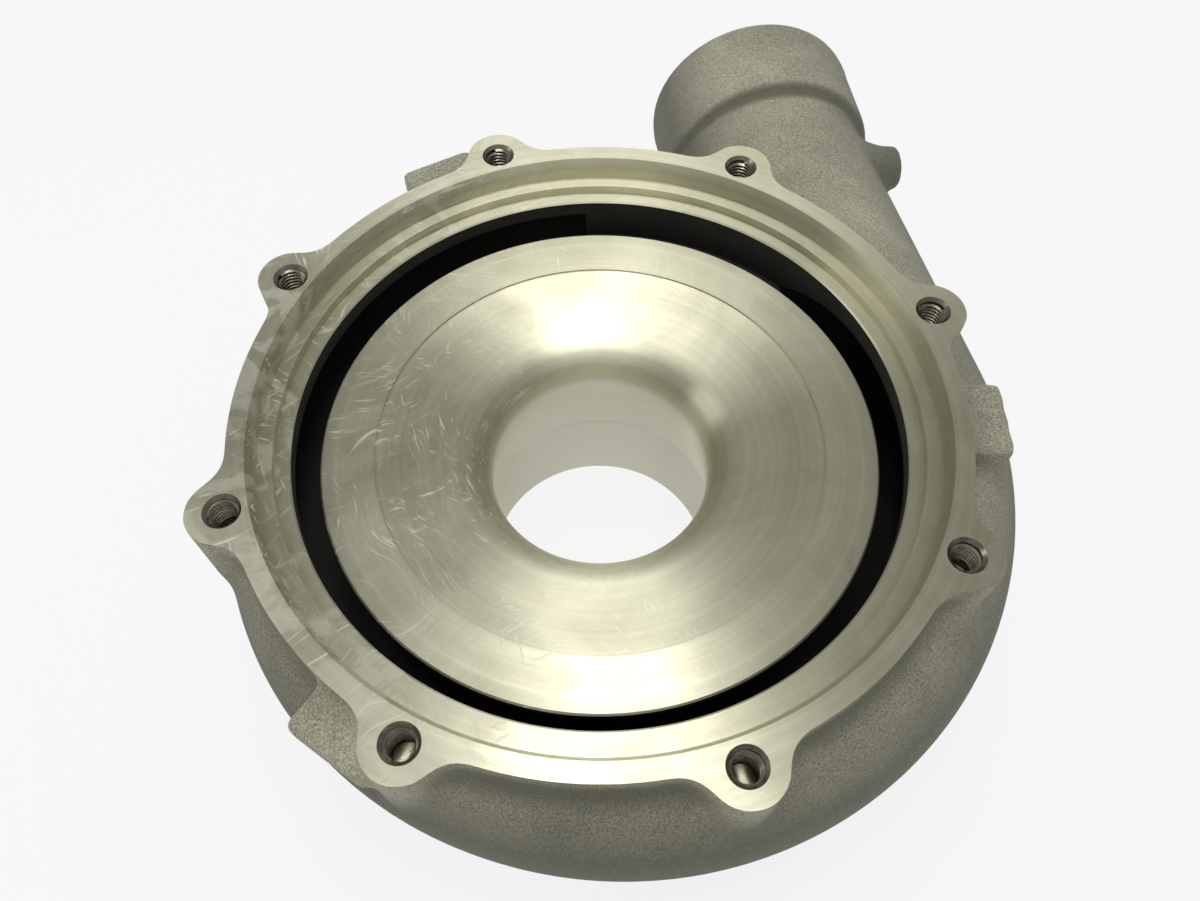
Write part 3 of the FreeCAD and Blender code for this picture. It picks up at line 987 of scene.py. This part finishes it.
def turning_group():
    """Marks of a turning tool: fine rings round the wheel axis, and slow bands."""
    tree, given, out = new_group(
        "turning_marks",
        [("Vector", "NodeSocketVector", None), ("Feed", "NodeSocketFloat", 2600.0)],
        [("Height", "NodeSocketFloat"), ("Bands", "NodeSocketFloat")],
    )
    graph = Graph(tree)
    parts, feed = graph.parts(given.outputs["Vector"]), given.outputs["Feed"]
    inputs = {0: graph.from_axis(parts), 1: 0.0, 2: parts[2]}
    ring = graph.add("ShaderNodeCombineXYZ", inputs).outputs[0]
    fine = graph.noise(ring, feed, 2.0, 0.7)
    medium = graph.noise(ring, graph.math("MULTIPLY", feed, 0.22), 3.0, 0.7)
    slow = graph.noise(ring, 110.0, 3.0, 0.6)
    bands = graph.span(graph.weighted((medium, 0.5), (slow, 0.5)), 0.34, 0.66)
    tree.links.new(graph.weighted((fine, 1.0), (medium, 0.8)), out.inputs["Height"])
    tree.links.new(bands, out.inputs["Bands"])
    return tree


# Layers of scratches: turn, stretch along the line and share of the size.
SCRATCH_LAYERS = ((0.3, 16.0, 1.0), (1.2, 12.0, 1.3), (2.2, 20.0, 0.8))
SCRATCH_BEND = (0.03, 0.03, 0.0)


def scratch_group():
    """Hairline scratches in loose arcs, pale smears and small flecks, each as a mask."""
    tree, given, out = new_group(
        "scratches",
        [("Vector", "NodeSocketVector", None), ("Size", "NodeSocketFloat", 1100.0)],
        [
            ("Lines", "NodeSocketFloat"),
            ("Smears", "NodeSocketFloat"),
            ("Flecks", "NodeSocketFloat"),
        ],
    )
    graph = Graph(tree)
    vector, size = given.outputs["Vector"], given.outputs["Size"]
    swirl = graph.add("ShaderNodeTexNoise", {"Vector": vector, "Scale": 30.0, "Detail": 1.0})
    inputs = {0: swirl.outputs["Color"], 1: SCRATCH_BEND}
    bend = graph.add("ShaderNodeVectorMath", inputs, operation="MULTIPLY").outputs[0]
    bent = graph.add("ShaderNodeVectorMath", {0: vector, 1: bend}, operation="ADD").outputs[0]
    layers = []
    for turn, stretch, share in SCRATCH_LAYERS:
        drawn = graph.add(
            "ShaderNodeMapping",
            {"Vector": bent, "Rotation": (0, 0, turn), "Scale": (1, stretch, 1)},
            vector_type="TEXTURE",
        ).outputs[0]
        hair = graph.noise(drawn, graph.math("MULTIPLY", size, share), 2.0, 0.6)
        gate = graph.span(graph.noise(vector, 52.0 * share, 3.0, 0.65), 0.46, 0.60)
        layers.append(graph.math("MULTIPLY", graph.span(hair, 0.60, 0.68), gate))
    specks = graph.add("ShaderNodeTexVoronoi", {"Vector": vector, "Scale": 900.0})
    dots = graph.span(specks.outputs["Distance"], 0.12, 0.2, 1.0, 0.0)
    chosen = graph.math("GREATER_THAN", graph.parts(specks.outputs["Color"])[0], 0.8)
    smears = graph.span(graph.noise(vector, 48.0, 5.0, 0.62, 1.2), 0.52, 0.58)
    tree.links.new(graph.math("MAXIMUM", *layers), out.inputs["Lines"])
    tree.links.new(smears, out.inputs["Smears"])
    tree.links.new(graph.math("MULTIPLY", dots, chosen), out.inputs["Flecks"])
    return tree


def group_of(name, make):
    """Return a node group, made on its first use."""
    return bpy.data.node_groups.get(name) or make()


def new_material(name):
    """Make a material and return it with its graph, its Principled BSDF and object coordinates."""
    material = bpy.data.materials.new(name)
    material.use_nodes = True
    graph = Graph(material.node_tree)
    principled = material.node_tree.nodes["Principled BSDF"]
    coordinates = graph.add("ShaderNodeTexCoord").outputs["Object"]
    return material, graph, principled, coordinates


def opaque(rgb):
    """Return a colour with full alpha."""
    return (*rgb, 1.0)


def use_group(graph, name, make, vector, **values):
    """Place a shared group, fed with coordinates and its own values."""
    made = graph.add("ShaderNodeGroup", node_tree=group_of(name, make))
    graph.tree.links.new(vector, made.inputs["Vector"])
    for label, given in values.items():
        made.inputs[label].default_value = given
    return made.outputs


def bump(graph, principled, height, strength, distance):
    """Feed a height into the normal."""
    made = graph.add(
        "ShaderNodeBump", {"Strength": strength, "Distance": distance, "Height": height}
    )
    graph.tree.links.new(made.outputs[0], principled.inputs["Normal"])


# Where painted shade darkens the cast skin, in metres, from the darkest place to the unshaded one:
# painted shade low down, under the face, round the flange's edge, and beside the hollow before the
# outlet's land.
SHADED_LOW = (-0.028, -0.010)
SHADED_UNDER_FACE = (-0.006, -0.002)
SHADED_FLANGE_ROOT = (0.0985, 0.1060)
SHADED_HOLLOW_PLACE, SHADED_HOLLOW_REACH = 0.1264, (0.0008, 0.0030)


def cast_material(finishes):
    """Sand cast aluminium: dull and grainy, with slow patches and painted shade low down, under the
    flange and in the hollows.
    """
    material, graph, principled, vector = new_material("cast_aluminium")
    grain = use_group(graph, "sand_grain", sand_group, vector)
    tone = graph.span(grain["Tone"], 0.43, 0.57)
    parts = graph.parts(vector)
    # Painted shade: the skin darkens towards the bottom, where less light falls from above.
    low = graph.span(parts[2], *SHADED_LOW, 0.88, 0.0)
    # Painted shade just under the face, round the flange's edge, standing in for its shadow on the
    # scroll.
    shade_under_face = graph.span(parts[2], *SHADED_UNDER_FACE, 0.75, 0.0)
    shade_at_root = graph.span(graph.from_axis(parts), *SHADED_FLANGE_ROOT, 1.0, 0.0)
    root = graph.math("MULTIPLY", shade_at_root, shade_under_face)
    # Painted shade in the hollow before the outlet's hose land.
    from_shaded_hollow = graph.math("ABSOLUTE", graph.math("SUBTRACT", parts[1], SHADED_HOLLOW_PLACE))
    hollow = graph.span(from_shaded_hollow, *SHADED_HOLLOW_REACH, 0.9, 0.0)
    unshaded = graph.math("SUBTRACT", 1.0, graph.math("MAXIMUM", low, root, hollow))
    share = graph.math("MULTIPLY", graph.weighted((grain["Patches"], 0.4), (tone, 0.65)), unshaded)
    base = graph.blend(share, opaque(finishes.cast_dark), opaque(finishes.cast_light))
    graph.tree.links.new(base, principled.inputs["Base Color"])
    principled.inputs["Metallic"].default_value = 0.45
    rough = graph.span(tone, 0.0, 1.0, 0.62, 0.42)
    graph.tree.links.new(rough, principled.inputs["Roughness"])
    bump(graph, principled, grain["Height"], 1.0, 0.0006)
    return material


def round_tangent(graph, vector):
    """Return the direction round the wheel axis, along which a turning tool runs."""
    around = graph.add("ShaderNodeVectorMath", {0: (0, 0, 1), 1: vector}, operation="CROSS_PRODUCT")
    return graph.add(
        "ShaderNodeVectorMath", {0: around.outputs[0]}, operation="NORMALIZE"
    ).outputs[0]


# A quarter turn from the tangent, so highlights run across the turning marks.
ACROSS_THE_MARKS = 0.25
# Where wear lies, in metres, from none to full: to the left, up on the seat, and near the front.
# Below the throat, in the last span, the wall is made paler: painted light coming up the bore.
LEFT, ON_SEAT, NEAR, LIT_BORE = (0.03, -0.05), (-0.013, -0.010), (0.0, -0.05), (-0.030, -0.036)


def turned_material(finishes):
    """Turned aluminium: fine rings round the axis, with scratches and pale smears on the left."""
    material, graph, principled, vector = new_material("turned_aluminium")
    marks = use_group(graph, "turning_marks", turning_group, vector)
    wear = use_group(graph, "scratches", scratch_group, vector)
    parts = graph.parts(vector)
    left = graph.span(parts[0], *LEFT)
    on_seat = graph.span(parts[2], *ON_SEAT, 0.3, 1.0)
    patches = graph.span(graph.noise(vector, 26.0, 4.0, 0.6, 0.6), 0.35, 0.65)
    dull = graph.weighted((marks["Bands"], 0.45), (patches, 0.4))
    base = graph.blend(dull, opaque(finishes.turned_light), opaque(finishes.turned_dark))
    smears = graph.math("MULTIPLY", wear["Smears"], left, on_seat, 0.32)
    lines = graph.math("MULTIPLY", wear["Lines"], graph.span(left, 0.0, 1.0, 0.12, 0.75))
    flecks = graph.math("MULTIPLY", wear["Flecks"], graph.span(parts[1], *NEAR), 0.4)
    pale = graph.math("MAXIMUM", smears, lines, flecks)
    # Painted light: the turned bore below the throat is blended towards the pale smear colour,
    # standing in for light coming up the bore from the floor.
    paler = graph.math("MAXIMUM", pale, graph.span(parts[2], *LIT_BORE))
    base = graph.blend(paler, base, opaque(finishes.smear))
    graph.tree.links.new(base, principled.inputs["Base Color"])
    graph.tree.links.new(graph.span(pale, 0.0, 1.0, 1.0, 0.3), principled.inputs["Metallic"])
    rough = graph.weighted((graph.span(dull, 0.0, 1.0, 0.32, 0.42), 1.0), (pale, 0.15))
    graph.tree.links.new(rough, principled.inputs["Roughness"])
    principled.inputs["Anisotropic"].default_value = 0.97
    principled.inputs["Anisotropic Rotation"].default_value = ACROSS_THE_MARKS
    graph.tree.links.new(round_tangent(graph, vector), principled.inputs["Tangent"])
    bump(graph, principled, marks["Height"], 0.12, 0.00005)
    return material


def passage_shade_material(finishes):
    """Cast walls of the air passage and the slot, nearly black: painted shade where little light
    reaches.
    """
    material, graph, principled, vector = new_material("passage_wall")
    grain = use_group(graph, "sand_grain", sand_group, vector, Grain=700.0)
    dark = opaque(finishes.inside)
    paler = opaque([part * 1.8 for part in finishes.inside])
    graph.tree.links.new(graph.blend(grain["Patches"], dark, paler), principled.inputs["Base Color"])
    principled.inputs["Metallic"].default_value = 0.3
    principled.inputs["Roughness"].default_value = 0.75
    bump(graph, principled, grain["Height"], 0.5, 0.0003)
    return material


def thread_material(finishes):
    """Cut metal in the tapped holes, darker than the face."""
    material, graph, principled, vector = new_material("cut_thread")
    marks = use_group(graph, "turning_marks", turning_group, vector, Feed=1800.0)
    stains = graph.span(graph.noise(vector, 380.0, 3.0, 0.6), 0.35, 0.7)
    light = opaque(finishes.thread)
    dark = opaque([part * 0.45 for part in finishes.thread])
    graph.tree.links.new(graph.blend(stains, light, dark), principled.inputs["Base Color"])
    principled.inputs["Metallic"].default_value = 1.0
    graph.tree.links.new(graph.span(stains, 0.0, 1.0, 0.25, 0.45), principled.inputs["Roughness"])
    bump(graph, principled, marks["Height"], 0.1, 0.00005)
    return material


# Share of the floor's brightness that shiny metal mirrors.
MIRRORED_FLOOR = 0.61


def floor_material(finishes, glow):
    """Pale floor that the camera sees nearly white and that keeps a faint shadow."""
    material, graph, principled, _ = new_material("floor")
    principled.inputs["Roughness"].default_value = 0.9
    white = graph.add("ShaderNodeEmission", {"Color": (1, 1, 1, 1), "Strength": 1.0})
    path = graph.add("ShaderNodeLightPath")
    direct = path.outputs["Is Camera Ray"]
    pale = graph.blend(direct, opaque(finishes.floor), opaque(finishes.floor_seen))
    graph.tree.links.new(pale, principled.inputs["Base Color"])
    mirrored = graph.math("MULTIPLY", path.outputs["Is Glossy Ray"], MIRRORED_FLOOR)
    seen = graph.math("MAXIMUM", direct, mirrored)
    share = graph.math("MULTIPLY", seen, glow)
    mixed = graph.add(
        "ShaderNodeMixShader", {0: share, 1: principled.outputs[0], 2: white.outputs[0]}
    )
    output = material.node_tree.nodes["Material Output"]
    graph.tree.links.new(mixed.outputs[0], output.inputs["Surface"])
    return material


# Operators


class HOUSING_OT_casting(bpy.types.Operator):
    """Cast the housing's blank and turn its face, seat, plate and bore."""

    bl_idname = "housing.casting"
    bl_label = "Casting"

    def execute(self, context):
        settings = context.scene.housing
        finishes = settings.finishes
        made = (cast_material, turned_material, passage_shade_material, thread_material)
        materials = [make(finishes) for make in made]
        casting = cast_blank(settings, materials)
        slice_off(casting, (0, 0, 0), (0, 0, 1), TURNED)
        slice_off(casting, (0, 0, -settings.plate.inlet_depth), (0, 0, -1), TURNED)
        slice_off(casting, (0, settings.outlet.end, 0), (0, 1, 0), CAST)
        combine(casting, turning_tool(settings, materials), "DIFFERENCE")
        tidy(casting)
        shade(casting)
        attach(casting, BODY)
        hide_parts(NODE)
        return {"FINISHED"}


class HOUSING_OT_threads(bpy.types.Operator):
    """Wind the thread of every tapped hole."""

    bl_idname = "housing.threads"
    bl_label = "Threads"

    def execute(self, context):
        settings = context.scene.housing
        threads = to_object("bolt_threads", thread_shells(settings.holes, settings.flange))
        threads.data.materials.append(bpy.data.materials["cut_thread"])
        shade(threads)
        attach(threads, BODY)
        return {"FINISHED"}


# Size and place of each lamp, in metres: overhead, on the left and at the far side.
LAMPS = {
    "key": ((0.34, 0.14), (0.0, -0.073, 0.696)),
    "fill": ((0.30, 0.30), (-0.60, 0.12, 0.35)),
    "back": ((0.24, 0.10), (0.015, 0.216, 0.666)),
}


def add_lamp(name, power, size, place):
    """Add a soft lamp that faces the housing."""
    lamp = bpy.data.lights.new(name, "AREA")
    lamp.shape = "RECTANGLE"
    lamp.size, lamp.size_y = size
    lamp.energy = power
    made = bpy.data.objects.new(name, lamp)
    made.location = place
    made.rotation_euler = (-Vector(place)).to_track_quat("-Z", "Y").to_euler()
    bpy.context.scene.collection.objects.link(made)
    return made


class HOUSING_OT_stage(bpy.types.Operator):
    """Set the floor, the lamps, the sky and the camera."""

    bl_idname = "housing.stage"
    bl_label = "Stage"

    def execute(self, context):
        settings = context.scene.housing
        stage = settings.stage
        shell = bmesh.new()
        half = stage.floor_size / 2
        bmesh.ops.create_grid(
            shell, size=half, matrix=Matrix.Translation((0, 0, CAD_BOX[0].z))
        )
        floor = to_object("floor", [shell])
        floor.data.materials.append(floor_material(settings.finishes, stage.floor_glow))
        for name, (size, place) in LAMPS.items():
            add_lamp(name, getattr(stage, f"{name}_power"), size, place)
        world = bpy.data.worlds.new("studio")
        world.use_nodes = True
        graph = Graph(world.node_tree)
        background = world.node_tree.nodes["Background"]
        direct = graph.add("ShaderNodeLightPath").outputs["Is Camera Ray"]
        seen = graph.math("MULTIPLY", direct, stage.backdrop)
        rays = graph.add("ShaderNodeTexCoord").outputs["Generated"]
        sky = graph.span(graph.parts(rays)[2], 0.0, 1.0, stage.horizon, stage.zenith)
        strength = graph.math("MAXIMUM", seen, sky)
        background.inputs["Color"].default_value = (1, 1, 1, 1)
        graph.tree.links.new(strength, background.inputs["Strength"])
        context.scene.world = world
        camera = bpy.data.cameras.new("camera")
        camera.lens = stage.lens
        camera.clip_start = 0.01
        made = bpy.data.objects.new("camera", camera)
        turn = Matrix.Rotation(stage.camera_turn, 4, "Z")
        tilt = Matrix.Rotation(stage.camera_tilt, 4, "X")
        roll = Matrix.Rotation(stage.camera_roll, 4, "Z")
        made.matrix_world = Matrix.Translation(stage.camera_place) @ turn @ tilt @ roll
        context.scene.collection.objects.link(made)
        context.scene.camera = made
        context.scene.view_settings.view_transform = "Standard"
        return {"FINISHED"}


OPERATORS = (HOUSING_OT_casting, HOUSING_OT_threads, HOUSING_OT_stage)


class HOUSING_PT_panel(bpy.types.Panel):
    """Lists the steps that build the housing."""

    bl_label = "Housing"
    bl_space_type = "VIEW_3D"
    bl_region_type = "UI"
    bl_category = "Housing"

    def draw(self, context):
        for operator in OPERATORS:
            self.layout.operator(operator.bl_idname)


GROUPS = (
    FlangeSizes,
    SeatSizes,
    PlateSizes,
    ScrollSizes,
    OutletSizes,
    PadSizes,
    HoleSizes,
    CastingSkin,
    Finishes,
    StageSettings,
    HousingSettings,
)


def register():
    """Register all classes and hang the settings on the scene."""
    for item in (*GROUPS, *OPERATORS, HOUSING_PT_panel):
        bpy.utils.register_class(item)
    bpy.types.Scene.housing = PointerProperty(type=HousingSettings)


def unregister():
    """Take the settings and all classes away again."""
    del bpy.types.Scene.housing
    for item in reversed((*GROUPS, *OPERATORS, HOUSING_PT_panel)):
        bpy.utils.unregister_class(item)


def main():
    """Build the housing and its stage."""
    register()
    bpy.ops.housing.casting()
    bpy.ops.housing.threads()
    bpy.ops.housing.stage()


if __name__ == "__main__":
    main()
